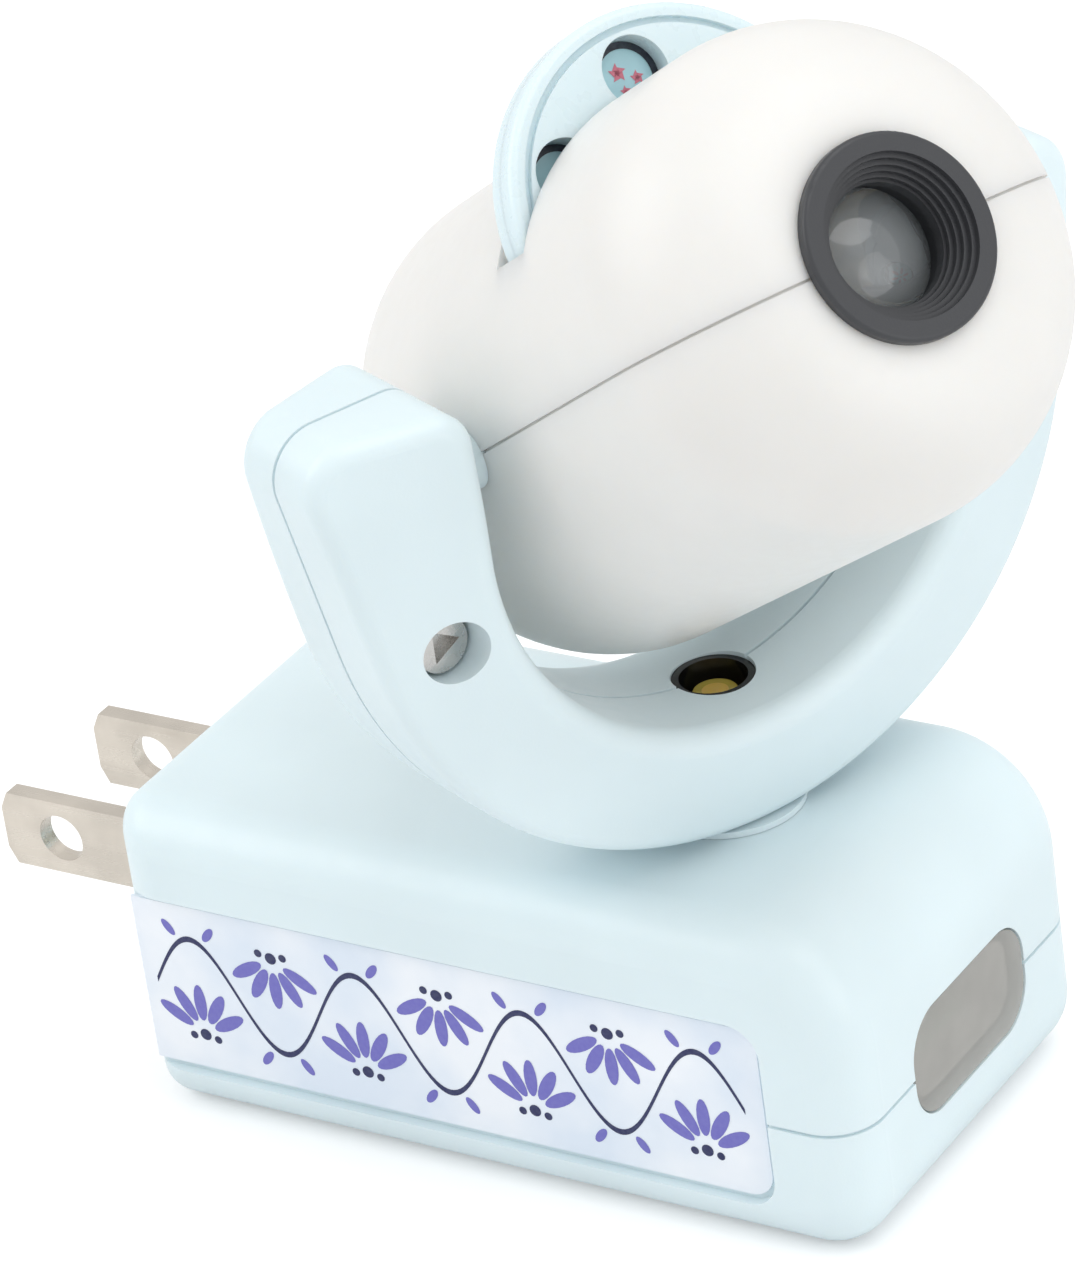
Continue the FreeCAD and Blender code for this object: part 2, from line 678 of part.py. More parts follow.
def capsule(inset):
    """Cylinder with a domed rear and a soft-edged flat front, shrunk evenly by inset."""
    radius = HEAD_RADIUS - inset
    front = HEAD_FRONT - inset
    edge = HEAD_FRONT_ROUND - inset
    rear = HEAD_REAR - HEAD_DOME + inset
    soft = math.radians(45)
    shoulder = HEAD_SHOULDER - inset
    rise = HEAD_RADIUS - HEAD_SHOULDER
    deeper = HEAD_DOME - HEAD_SHOULDER
    ahead = (rise * rise - deeper * deeper) / (2 * deeper)
    cap = ahead + HEAD_DOME - inset
    lean = math.atan2(rise, ahead)
    halfway = (lean + math.pi / 2) / 2

    def at(x, r):
        return Vector(x, 0, r)

    def on_cap(angle):
        return at(HEAD_REAR + ahead - cap * math.cos(angle), cap * math.sin(angle))

    def on_shoulder(angle):
        return at(HEAD_REAR - shoulder * math.cos(angle), rise + shoulder * math.sin(angle))

    nose = at(front - edge + edge * math.sin(soft), radius - edge + edge * math.cos(soft))
    edges = [
        Part.Arc(at(rear, 0), on_cap(lean / 2), on_cap(lean)).toShape(),
        Part.Arc(on_cap(lean), on_shoulder(halfway), at(HEAD_REAR, radius)).toShape(),
        Part.makeLine(at(HEAD_REAR, radius), at(front - edge, radius)),
        Part.Arc(at(front - edge, radius), nose, at(front, radius - edge)).toShape(),
        Part.makeLine(at(front, radius - edge), at(front, 0)),
        Part.makeLine(at(front, 0), at(rear, 0)),
    ]
    return Part.Face(Part.Wire(edges)).revolve(Vector(0, 0, 0), X_AXIS, 360)


def parting_groove():
    """Fine step along the head's parting line, in the lower half."""
    skin = capsule(0).cut(capsule(SEAM_GROOVE * 0.8))
    return skin.common(block((-80, -80, -SEAM_GROOVE * 0.7), (80, 80, 0)))


def wheel_room():
    """Space that the picture wheel needs, as a disc slightly larger all round."""
    start = WHEEL_PLACE - WHEEL_THICK / 2 - WHEEL_CLEAR
    width = WHEEL_THICK + 2 * WHEEL_CLEAR
    return rod(WHEEL_RADIUS + WHEEL_CLEAR, width, (start, 0, WHEEL_OFFSET), X_AXIS)


def head_wall(sign):
    """Half of the capsule's shell, above its middle plane for sign 1."""
    shell = capsule(0).cut(capsule(HEAD_WALL))
    guide_start = HEAD_FRONT - BARREL_LENGTH + 1.5
    guide = rod(BARREL_RADIUS + RUN + 1.4, HEAD_FRONT - guide_start - 0.5, (guide_start, 0, 0), X_AXIS)
    shell = shell.fuse(guide)
    lamp_seat = tube(HEAD_RADIUS - 0.6, LAMP_BOARD_RADIUS - 1.5, 1.4, (LAMP_PLACE - 3.1, 0, 0), X_AXIS)
    shell = shell.fuse(lamp_seat)
    lens_seat = tube(HEAD_RADIUS - 0.6, CONDENSER_RADIUS - 0.6, 1.2, (CONDENSER_PLACE - 1.4, 0, 0), X_AXIS)
    shell = shell.fuse(lens_seat)
    for side in (-1, 1):
        shell = shell.fuse(bush_seat(side))
    for side in (-1, 1):
        shell = shell.cut(bush_groove(side))
    shell = shell.cut(rod(BARREL_RADIUS + RUN, 60, (guide_start - 5, 0, 0), X_AXIS))
    shell = shell.cut(rod(BUSH_RADIUS, 100, (0, -50, 0), Y_AXIS))
    shell = shell.cut(wheel_room())
    half = block((-80, -80, 0), (80, 80, 80 * sign)) if sign > 0 else block((-80, -80, -80), (80, 80, 0))
    return shell.common(half)


def bush_seat(side):
    """Thick pad inside the capsule wall around a pivot bush."""
    outer = HEAD_RADIUS - 0.8
    start = outer - 3.6
    pad = rod(BUSH_FLANGE + 1.2, outer - start, (0, side * start, 0), Y_AXIS * side)
    return pad.common(capsule(0.4))


def bush_groove(side):
    """Room for the inner flange of a pivot bush."""
    start = HEAD_RADIUS - 0.8 - 3.6 + 1.0
    return rod(BUSH_FLANGE + GAP, BUSH_FLANGE_THICK + 2 * RUN, (0, side * start, 0), Y_AXIS * side)


def axle_bulkheads():
    """Two ribs in the upper half that hold the wheel's axle, ahead of it and behind it."""
    ribs = None
    gap = WHEEL_THICK / 2 + WHEEL_CLEAR
    for start in (WHEEL_PLACE - gap - 1.4, WHEEL_PLACE + gap):
        rib = rod(HEAD_RADIUS - 0.6, 1.4, (start, 0, 0), X_AXIS)
        rib = rib.common(block((-80, -80, PICTURE_RADIUS + 2.2), (80, 80, 80)))
        ribs = rib if ribs is None else ribs.fuse(rib)
    return ribs


def head_upper():
    shell = head_wall(1).fuse(axle_bulkheads())
    shell = shell.cut(rod(AXLE_RADIUS, 20, (WHEEL_PLACE - 10, 0, WHEEL_OFFSET), X_AXIS))
    return shell.removeSplitter()


def head_lower():
    return head_wall(-1).cut(parting_groove()).removeSplitter()


def pivot_bush(side):
    """Hollow trunnion: fast in the head, it turns in the yoke's arm and is held by two flanges."""
    inner_face = HEAD_RADIUS - 0.8 - 3.6
    groove_start = inner_face + 1.0
    start = inner_face
    end = YOKE_INNER + YOKE_WALL + 0.3 + BUSH_FLANGE_THICK
    body = rod(BUSH_RADIUS - 0.0, end - start, (0, side * start, 0), Y_AXIS * side)
    inside = rod(BUSH_FLANGE, BUSH_FLANGE_THICK, (0, side * (groove_start + RUN), 0), Y_AXIS * side)
    outside = rod(BUSH_FLANGE, BUSH_FLANGE_THICK, (0, side * (end - BUSH_FLANGE_THICK), 0), Y_AXIS * side)
    body = body.fuse(inside).fuse(outside)
    return body.cut(rod(BUSH_BORE, 40, (0, side * (start - 1), 0), Y_AXIS * side))


# Lamp in the head

def lamp_board():
    return rod(LAMP_BOARD_RADIUS, BOARD_THICK, (LAMP_PLACE - 1.6, 0, 0), X_AXIS)


def projector_led():
    start = LAMP_PLACE + 0.05
    base = rod(CHIP_RADIUS + 1.2, 1.0, (start, 0, 0), X_AXIS)
    dome = rod(CHIP_RADIUS, CHIP_LENGTH - CHIP_RADIUS + 1, (start, 0, 0), X_AXIS)
    cap = Part.makeSphere(CHIP_RADIUS, Vector(start + CHIP_LENGTH - CHIP_RADIUS + 1, 0, 0))
    cap = cap.common(block((start + 0.5, -9, -9), (start + 20, 9, 9)))
    return base.fuse(dome).fuse(cap)


def convex_lens(radius, edge, bulge, place):
    """Lens with a flat rear and a domed front; place is the rear face along +X."""
    ball = (radius * radius + bulge * bulge) / (2 * bulge)
    dome = Part.makeSphere(ball, Vector(place + edge + bulge - ball, 0, 0))
    body = rod(radius, edge + bulge, (place, 0, 0), X_AXIS)
    return body.common(dome) if ball > edge + bulge else body


def condenser():
    return convex_lens(CONDENSER_RADIUS, 1.0, 1.4, CONDENSER_PLACE - 0.1)


# Picture wheel

def picture_places():
    places = []
    for i in range(WINDOW_COUNT):
        angle = math.radians(-90 + 360 * i / WINDOW_COUNT)
        y = WHEEL_OFFSET * math.cos(angle)
        z = WHEEL_OFFSET + WHEEL_OFFSET * math.sin(angle)
        places.append((y, z))
    return places


def wheel_plate(sign):
    """Half of the picture wheel: the front plate for sign 1, the rear plate for sign -1."""
    half = WHEEL_THICK / 2
    solid = rod(WHEEL_RADIUS, half, (WHEEL_PLACE, 0, WHEEL_OFFSET), X_AXIS * sign)
    rim = edges_where(solid, lambda b: b.XLength < 0.01 and abs(b.XMin - WHEEL_PLACE - sign * half) < 0.01)
    solid = solid.makeFillet(0.6, rim)
    for y, z in picture_places():
        solid = solid.cut(rod(PICTURE_RADIUS, 10, (WHEEL_PLACE - 5, y, z), X_AXIS))
        pocket = FILM_THICK / 2 + 0.02
        solid = solid.cut(rod(FILM_RADIUS + RUN, pocket, (WHEEL_PLACE, y, z), X_AXIS * sign))
    solid = solid.cut(rod(AXLE_RADIUS + RUN, 10, (WHEEL_PLACE - 5, 0, WHEEL_OFFSET), X_AXIS))
    if sign > 0:
        face = WHEEL_PLACE + half - WHEEL_GROOVE_DEPTH
        start = (face, 0, WHEEL_OFFSET)
        solid = solid.cut(tube(WHEEL_GROOVE, WHEEL_GROOVE - 0.5, 2, start, X_AXIS))
    else:
        face = WHEEL_PLACE - half
        for i in range(WINDOW_COUNT):
            angle = math.radians(-90 + 360 * i / WINDOW_COUNT)
            y = 4.6 * math.cos(angle)
            z = WHEEL_OFFSET + 4.6 * math.sin(angle)
            solid = solid.cut(rod(0.7, 0.5, (face, y, z), X_AXIS))
    return solid


def film(index):
    y, z = picture_places()[index]
    return rod(FILM_RADIUS, FILM_THICK, (WHEEL_PLACE - FILM_THICK / 2, y, z), X_AXIS)


def wheel_axle():
    reach = WHEEL_THICK / 2 + WHEEL_CLEAR + 1.4
    start = WHEEL_PLACE - reach + 0.0
    return rod(AXLE_RADIUS, 2 * reach, (start, 0, WHEEL_OFFSET), X_AXIS)


def detent_spring():
    """Bent leaf behind the wheel whose bump clicks into the wheel's dimples."""
    back = WHEEL_PLACE - WHEEL_THICK / 2 - WHEEL_CLEAR
    z = WHEEL_OFFSET + 4.6
    leaf = block((back, -4.0, z - 1.2), (back + 0.25, 4.0, z + 1.2))
    bump = rod(0.55, WHEEL_CLEAR - 0.1, (back, 0, z), X_AXIS)
    return leaf.fuse(bump)


# Focusing lens

def lens_barrel():
    """Sliding tube with a stepped mouth and a flat bezel that hides the hole in the head."""
    face = HEAD_FRONT + 0.1
    front = face + BEZEL_THICK
    rear = HEAD_FRONT - BARREL_LENGTH + 2
    body = rod(BARREL_RADIUS, front - rear, (rear, 0, 0), X_AXIS)
    flange = rod(BEZEL_RADIUS, BEZEL_THICK, (face, 0, 0), X_AXIS)
    rim = edges_where(flange, lambda b: b.XLength < 0.01 and abs(b.XMin - front) < 0.01)
    body = body.fuse(flange.makeFillet(0.35, rim))
    for i, radius in enumerate(MOUTH_RADII):
        depth = MOUTH_STEP * (i + 1)
        body = body.cut(rod(radius, depth + 1, (front - depth, 0, 0), X_AXIS))
    body = body.cut(rod(LENS_RADIUS - 0.3, 40, (rear - 1, 0, 0), X_AXIS))
    return body.cut(rod(LENS_RADIUS + RUN, front - LENS_SEAT - rear + 1, (rear - 1, 0, 0), X_AXIS))


def projection_lens():
    front = HEAD_FRONT + 0.1 + BEZEL_THICK
    ball = 8.0
    edge = 1.0
    seat = front - LENS_SEAT - 0.02
    bulge = ball - math.sqrt(ball * ball - LENS_RADIUS * LENS_RADIUS)
    body = rod(LENS_RADIUS, edge + 2 * bulge, (seat - edge - 2 * bulge, 0, 0), X_AXIS)
    front_dome = Part.makeSphere(ball, Vector(seat - ball, 0, 0))
    rear_dome = Part.makeSphere(ball, Vector(seat - edge - 2 * bulge + ball, 0, 0))
    return body.common(front_dome).common(rear_dome)


def lens_retainer():
    front = HEAD_FRONT + 0.1 + BEZEL_THICK
    ball = 8.0
    bulge = ball - math.sqrt(ball * ball - LENS_RADIUS * LENS_RADIUS)
    end = front - LENS_SEAT - 1.0 - 2 * bulge - 0.05
    return tube(LENS_RADIUS, LENS_RADIUS - 0.7, 1.2, (end - 1.2, 0, 0), X_AXIS)


BASE_PIECES = {
    "base_upper_shell": upper_shell,
    "base_lower_shell": lower_shell,
    "side_label": base_label,
    "blade_carrier": blade_carrier,
    "sensor_window": sensor_window,
    "light_sensor": light_sensor,
    "circuit_board": circuit_board,
    "filter_capacitor": filter_capacitor,
    "dropper_capacitor": dropper_capacitor,
    "bridge_rectifier": rectifier,
}

YOKE_PIECES = {
    "yoke_front_half": yoke_front,
    "yoke_rear_half": yoke_rear,
    "swivel_post": swivel_post,
    "swivel_washer": swivel_washer,
    "swivel_clip": swivel_clip,
    "glow_sleeve": glow_sleeve,
    "glow_led": glow_led,
}

HEAD_PIECES = {
    "head_upper_half": head_upper,
    "head_lower_half": head_lower,
    "lamp_board": lamp_board,
    "projector_led": projector_led,
    "condenser_lens": condenser,
    "wheel_axle": wheel_axle,
    "detent_spring": detent_spring,
    "lens_barrel": lens_barrel,
    "projection_lens": projection_lens,
    "lens_retainer": lens_retainer,
}

for name, make in BASE_PIECES.items():
    save(name, make())
for number, (x, y) in enumerate(case_screw_places(), 1):
    save("case_screw_" + str(number), case_screw(x, y))
for name, side in (("near", -1), ("far", 1)):
    save("plug_blade_" + name, blade(side))

for name, make in YOKE_PIECES.items():
    save(name, turn_yoke(make()))
for name, side in (("left", -1), ("right", 1)):
    save("yoke_screw_" + name, turn_yoke(yoke_screw(side)))

for name, make in HEAD_PIECES.items():
    save(name, turn_head(make()))
for name, side in (("left", -1), ("right", 1)):
    save("pivot_bush_" + name, turn_head(pivot_bush(side)))
for name, sign in (("front", 1), ("rear", -1)):
    save("wheel_" + name + "_plate", turn_head(wheel_plate(sign)))
for index in range(WINDOW_COUNT):
    save("film_" + str(index + 1), turn_head(film(index)))
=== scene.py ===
"""Dresses the plug-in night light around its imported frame: finishes, side print, films, lamp and set."""

import json
import math

import bmesh
import bpy
from mathutils import Matrix, Vector


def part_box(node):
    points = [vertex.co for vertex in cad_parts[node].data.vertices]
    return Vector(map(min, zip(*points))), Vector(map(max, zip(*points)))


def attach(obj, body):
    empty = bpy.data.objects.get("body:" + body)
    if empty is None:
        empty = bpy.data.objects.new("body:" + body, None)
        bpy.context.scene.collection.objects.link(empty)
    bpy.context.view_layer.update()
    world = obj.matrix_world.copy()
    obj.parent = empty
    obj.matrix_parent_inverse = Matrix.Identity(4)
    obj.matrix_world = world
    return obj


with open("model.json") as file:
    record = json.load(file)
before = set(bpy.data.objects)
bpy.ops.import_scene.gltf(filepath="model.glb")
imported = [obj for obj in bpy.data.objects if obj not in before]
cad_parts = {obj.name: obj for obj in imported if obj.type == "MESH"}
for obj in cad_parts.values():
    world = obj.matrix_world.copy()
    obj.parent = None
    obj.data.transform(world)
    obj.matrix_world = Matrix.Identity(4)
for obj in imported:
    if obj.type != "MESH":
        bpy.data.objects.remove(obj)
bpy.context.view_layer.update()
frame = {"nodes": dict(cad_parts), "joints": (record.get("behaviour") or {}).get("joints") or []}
nodes = frame["nodes"]
wheel = next(joint for joint in frame["joints"] if joint["name"] == "wheel_turn")
HEAD_AXIS = Vector(wheel["axis"]).normalized()

# Linear colours
ICE_BLUE = (0.715, 0.83, 0.865)
WARM_WHITE = (0.80, 0.785, 0.755)
BEZEL_GREY = (0.04, 0.042, 0.047)
NAVY = (0.008, 0.012, 0.085)
LAVENDER = (0.15, 0.14, 0.50)
LABEL_GROUND = (0.72, 0.80, 0.90)
LABEL_CLOUD = (0.86, 0.90, 0.95)
SOLDER_MASK = (0.02, 0.16, 0.07)
FLOOR_GREY = (0.86, 0.865, 0.87)
CHAMPAGNE = (0.74, 0.68, 0.60)
BRIGHT_STEEL = (0.62, 0.61, 0.59)

MILLIMETRE = 0.001
# How far a print stands off the surface that it lies on, in metres
LABEL_LIFT = 0.00002
LAMP_LIFT = 0.00003
# From a film's middle to the print on its face, in metres
FILM_LIFT = 0.00013
# How much of its own light the floor adds for the camera, and the world's light on the object
FLOOR_GLOW = 0.22
WORLD_LEVEL = 0.8
# The fitted camera: focal length in pixels of a picture of this height
FOCAL_PIXELS = 6528.9
PICTURE_HEIGHT = 1266
SENSOR_HEIGHT = 36
CAMERA_PLACE = (0.227974, -0.342627, 0.269213)
CAMERA_RIGHT = (0.84773, 0.51527, -0.12587)
CAMERA_DOWN = (0.15889, -0.47309, -0.86657)
CAMERA_AHEAD = (-0.50607, 0.71462, -0.48293)


# Finishes

def new_finish(name, colour, roughness, **sockets):
    """A material with a plain shader; returns the material, its node tree and the shader."""
    finish = bpy.data.materials.new(name)
    finish.use_nodes = True
    tree = finish.node_tree
    shader = tree.nodes["Principled BSDF"]
    shader.inputs["Base Color"].default_value = (*colour, 1)
    shader.inputs["Roughness"].default_value = roughness
    for socket, value in sockets.items():
        shader.inputs[socket.replace("_", " ")].default_value = value
    return finish, tree, shader


def add(tree, kind, **settings):
    node = tree.nodes.new(kind)
    for name, value in settings.items():
        setattr(node, name, value)
    return node


def noise(tree, scale, detail=2.0, stretch=(1, 1, 1)):
    """Noise in the object's own metres; scale is in cycles per metre."""
    place = add(tree, "ShaderNodeTexCoord")
    mapping = add(tree, "ShaderNodeMapping")
    mapping.inputs["Scale"].default_value = stretch
    texture = add(tree, "ShaderNodeTexNoise")
    texture.inputs["Scale"].default_value = scale
    texture.inputs["Detail"].default_value = detail
    tree.links.new(place.outputs["Object"], mapping.inputs["Vector"])
    tree.links.new(mapping.outputs["Vector"], texture.inputs["Vector"])
    return texture.outputs["Fac"]


def spread(tree, source, low, high, start=0.35, end=0.65):
    """Maps a noise value from start..end to low..high."""
    ramp = add(tree, "ShaderNodeMapRange")
    ramp.inputs["From Min"].default_value = start
    ramp.inputs["From Max"].default_value = end
    ramp.inputs["To Min"].default_value = low
    ramp.inputs["To Max"].default_value = high
    tree.links.new(source, ramp.inputs["Value"])
    return ramp.outputs["Result"]


def blend_colours(tree, factor, first, second):
    """A colour between first and second, by a factor from 0 to 1."""
    mix = add(tree, "ShaderNodeMix", data_type="RGBA")
    mix.inputs["A"].default_value = (*first, 1)
    mix.inputs["B"].default_value = (*second, 1)
    tree.links.new(factor, mix.inputs["Factor"])
    return mix.outputs["Result"]


def clouded(tree, shader, scale, first, second, detail=2.0, end=1):
    """Drives the shader's colour from first to second by soft noise."""
    clouds = spread(tree, noise(tree, scale, detail), 0, end)
    tree.links.new(blend_colours(tree, clouds, first, second), shader.inputs["Base Color"])


def grain(tree, shader, scale, height, stretch=(1, 1, 1)):
    """A fine surface grain; height is in metres."""
    bump = add(tree, "ShaderNodeBump")
    bump.inputs["Strength"].default_value = 1.0
    bump.inputs["Distance"].default_value = height
    tree.links.new(noise(tree, scale, 3.0, stretch), bump.inputs["Height"])
    tree.links.new(bump.outputs["Normal"], shader.inputs["Normal"])


def moulded_plastic(name, colour, roughness, texture=0.000006, scatter=0.0, depth=0.0015):
    """Injection-moulded plastic: faint flow clouds in the colour, uneven satin and a fine grain."""
    finish, tree, shader = new_finish(name, colour, roughness)
    paler = tuple(min(1, c * 1.015) for c in colour)
    deeper = tuple(c * 0.97 for c in colour)
    clouded(tree, shader, 60, deeper, paler)
    satin = spread(tree, noise(tree, 900), roughness - 0.05, roughness + 0.05)
    tree.links.new(satin, shader.inputs["Roughness"])
    grain(tree, shader, 5000, texture)
    if scatter:
        shader.inputs["Subsurface Weight"].default_value = scatter
        shader.inputs["Subsurface Radius"].default_value = (1, 0.85, 0.7)
        shader.inputs["Subsurface Scale"].default_value = depth
    return finish


def plated_metal(name, colour, roughness, stretch=(1, 1, 1)):
    """Plated metal with rolling marks along the direction that stretch leaves long."""
    finish, tree, shader = new_finish(name, colour, roughness, Metallic=1.0)
    duller = tuple(c * 0.88 for c in colour)
    clouded(tree, shader, 250, duller, colour)
    marks = spread(tree, noise(tree, 1800, 4.0, stretch), roughness - 0.08, roughness + 0.1)
    tree.links.new(marks, shader.inputs["Roughness"])
    grain(tree, shader, 2500, 0.000004, stretch)
    return finish


def clear_plastic(name, colour, roughness, through=1.0, index=1.47):
    """Clear or tinted plastic with faint moulding waves."""
    finish, tree, shader = new_finish(name, colour, roughness, Transmission_Weight=through, IOR=index)
    paler = tuple(min(1, c * 1.08) for c in colour)
    clouded(tree, shader, 120, colour, paler)
    grain(tree, shader, 300, 0.000004)
    return finish


def tinted_film(name, colour, cover, roughness):
    """A thin see-through sheet: cover is how much of what lies behind it is hidden."""
    finish, tree, shader = new_finish(name, colour, roughness, Alpha=cover)
    paler = tuple(min(1, c * 1.12) for c in colour)
    clouded(tree, shader, 160, colour, paler)
    grain(tree, shader, 500, 0.000003)
    return finish


def printed_ground(name):
    """The label's film: a pale ground with a soft cold cloud and a faint gloss."""
    finish, tree, shader = new_finish(name, LABEL_GROUND, 0.3)
    clouded(tree, shader, 110, LABEL_GROUND, LABEL_CLOUD, 3.0)
    grain(tree, shader, 3000, 0.000004)
    return finish


def printed_ink(name, colour):
    """Print ink with the dots of a fine screen in it."""
    finish, tree, shader = new_finish(name, colour, 0.35)
    worn = tuple(c + 0.1 * (g - c) for c, g in zip(colour, LABEL_GROUND))
    clouded(tree, shader, 2600, colour, worn, end=0.3)
    return finish


def circuit_finish(name):
    """Solder mask with copper tracks showing through as paler lines."""
    finish, tree, shader = new_finish(name, SOLDER_MASK, 0.3)
    place = add(tree, "ShaderNodeTexCoord")
    tracks = add(tree, "ShaderNodeTexBrick", offset=0.35)
    tracks.inputs["Color1"].default_value = (*SOLDER_MASK, 1)
    tracks.inputs["Color2"].default_value = (0.025, 0.2, 0.09, 1)
    tracks.inputs["Mortar"].default_value = (0.06, 0.33, 0.16, 1)
    tracks.inputs["Scale"].default_value = 320
    tracks.inputs["Mortar Size"].default_value = 0.05
    tree.links.new(place.outputs["Object"], tracks.inputs["Vector"])
    tree.links.new(tracks.outputs["Color"], shader.inputs["Base Color"])
    return finish


FINISHES = {
    "base": moulded_plastic("ice_blue_base", ICE_BLUE, 0.36, scatter=0.15),
    "yoke": moulded_plastic("ice_blue_yoke", tuple(c * 0.985 for c in ICE_BLUE), 0.36, scatter=0.15),
    "wheel": moulded_plastic("ice_blue_wheel", (0.70, 0.83, 0.87), 0.3, scatter=0.25),
    "head": moulded_plastic("warm_translucent_white", WARM_WHITE, 0.38, scatter=0.45, depth=0.004),
    "bezel": moulded_plastic("bezel_black", BEZEL_GREY, 0.42, texture=0.000012),
    "sleeve": moulded_plastic("sleeve_black", (0.006, 0.006, 0.006), 0.22),
    "nylon": moulded_plastic("white_nylon", (0.82, 0.82, 0.8), 0.4, scatter=0.3),
    "carrier": moulded_plastic("carrier_black", (0.02, 0.02, 0.022), 0.5),
    "component": moulded_plastic("component_black", (0.018, 0.018, 0.02), 0.35),
    "ochre": moulded_plastic("component_ochre", (0.5, 0.2, 0.04), 0.2),
    "blade": plated_metal("champagne_nickel", CHAMPAGNE, 0.3, (0.05, 1, 1)),
    "steel": plated_metal("bright_steel", BRIGHT_STEEL, 0.26),
    "window": tinted_film("smoky_window", (0.52, 0.51, 0.48), 0.5, 0.1),
    "clear": clear_plastic("clear_resin", (0.86, 0.87, 0.85), 0.05, 0.9),
    "lens": clear_plastic("lens_glass", (0.62, 0.66, 0.68), 0.05, 0.75, 1.52),
    "led": clear_plastic("led_yellow", (0.8, 0.62, 0.12), 0.12, 0.35),
    "board": circuit_finish("solder_mask"),
    "label": printed_ground("label_film"),
    "film": tinted_film("picture_film", (0.42, 0.66, 0.72), 0.9, 0.15),
    "ring": printed_ink("ring_ink", (0.012, 0.016, 0.03)),
    "sensor": moulded_plastic("sensor_resin", (0.66, 0.6, 0.56), 0.15),
    "navy": printed_ink("navy_ink", NAVY),
    "lavender": printed_ink("lavender_ink", LAVENDER),
    "rose": printed_ink("rose_ink", (0.62, 0.16, 0.22)),
    "sun": printed_ink("sun_ink", (0.75, 0.48, 0.08)),
    "leaf": printed_ink("leaf_ink", (0.12, 0.42, 0.2)),
}
NODE_FINISHES = {
    "base_upper_shell": "base", "base_lower_shell": "base", "side_label": "label",
    "yoke_front_half": "yoke", "yoke_rear_half": "yoke", "swivel_post": "nylon",
    "swivel_washer": "base", "swivel_clip": "steel", "glow_sleeve": "sleeve", "glow_led": "led",
    "head_upper_half": "head", "head_lower_half": "head", "lamp_board": "board",
    "projector_led": "clear", "condenser_lens": "clear", "wheel_axle": "nylon",
    "detent_spring": "steel", "wheel_front_plate": "wheel", "wheel_rear_plate": "wheel",
    "lens_barrel": "bezel", "projection_lens": "lens", "lens_retainer": "bezel",
    "blade_carrier": "carrier", "sensor_window": "window", "light_sensor": "sensor",
    "circuit_board": "board", "filter_capacitor": "component", "dropper_capacitor": "ochre",
    "bridge_rectifier": "component",
}
NAME_STARTS = {
    "plug_blade": "blade", "case_screw": "steel", "yoke_screw": "steel", "film": "film", "pivot_bush": "yoke",
}


def dress_nodes():
    """Gives every CAD node its finish, by its name or by how its name starts."""
    for name, node in nodes.items():
        key = NODE_FINISHES.get(name) or next(NAME_STARTS[s] for s in NAME_STARTS if name.startswith(s))
        for slot in node.material_slots:
            slot.material = FINISHES[key]


# Print: flat shapes drawn in millimetres in a plane and then set on their surface

def placed(name, shape, finish):
    """Turns a bmesh into an object at the origin with one finish."""
    mesh = bpy.data.meshes.new(name)
    shape.to_mesh(mesh)
    shape.free()
    mesh.materials.append(finish)
    piece = bpy.data.objects.new(name, mesh)
    bpy.context.collection.objects.link(piece)
    return piece


def drawn(name, marks, finish, body, place):
    """Joins flat marks into one piece on a body. Each mark adds its faces to the bmesh that it is given."""
    ink = bmesh.new()
    for mark, arguments in marks:
        mark(ink, *arguments)
    bmesh.ops.scale(ink, vec=(MILLIMETRE,) * 3, verts=ink.verts)
    bmesh.ops.transform(ink, matrix=place, verts=ink.verts)
    piece = placed(name, ink, FINISHES[finish])
    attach(piece, body)


def disc(ink, x, y, radius, sides=24, stretch=1.0, turn=0.0, pull=0.0):
    """A filled regular shape; stretch lengthens it along turn and pull moves it out along turn."""
    place = Matrix.Translation((x, y, 0)) @ Matrix.Rotation(turn, 4, "Z") @ Matrix.Translation((pull, 0, 0))
    bmesh.ops.create_circle(
        ink, cap_ends=True, segments=sides, radius=radius, matrix=place @ Matrix.Diagonal((stretch, 1, 1, 1)))


def bar(ink, x, y, length, width):
    """A flat bar round x and y."""
    place = Matrix.Translation((x, y, 0)) @ Matrix.Diagonal((length, width, 1, 1))
    bmesh.ops.create_grid(ink, x_segments=1, y_segments=1, size=0.5, matrix=place)


def blossom(ink, x, y, size, petals=8):
    """A round flower: long petals with a bud between each two."""
    for i in range(petals):
        angle = 2 * math.pi * i / petals
        disc(ink, x, y, size * 0.13, 16, 2.3, angle, size * 0.52)
        disc(ink, x, y, size * 0.06, 10, 1.0, angle + math.pi / petals, size * 0.82)
    disc(ink, x, y, size * 0.12, 16)


def vine(ink, left, right, middle, rise, waves, width):
    """One long waving stem: a thin grid bent along a sine."""
    stem = bmesh.ops.create_grid(ink, x_segments=180, y_segments=1, size=0.5)["verts"]
    for vert in stem:
        along = vert.co.x + 0.5
        height = middle + rise * math.sin(2 * math.pi * waves * along)
        vert.co = (left + (right - left) * along, height + width * vert.co.y, 0)


def fan(ink, x, y, size, up, petals=5):
    """A half-open bloom: long petals spread to one side of their foot."""
    for i in range(petals):
        angle = up * math.radians(30 + 120 * i / (petals - 1))
        disc(ink, x, y, size * 0.12, 18, 2.9, angle, size * 0.6)


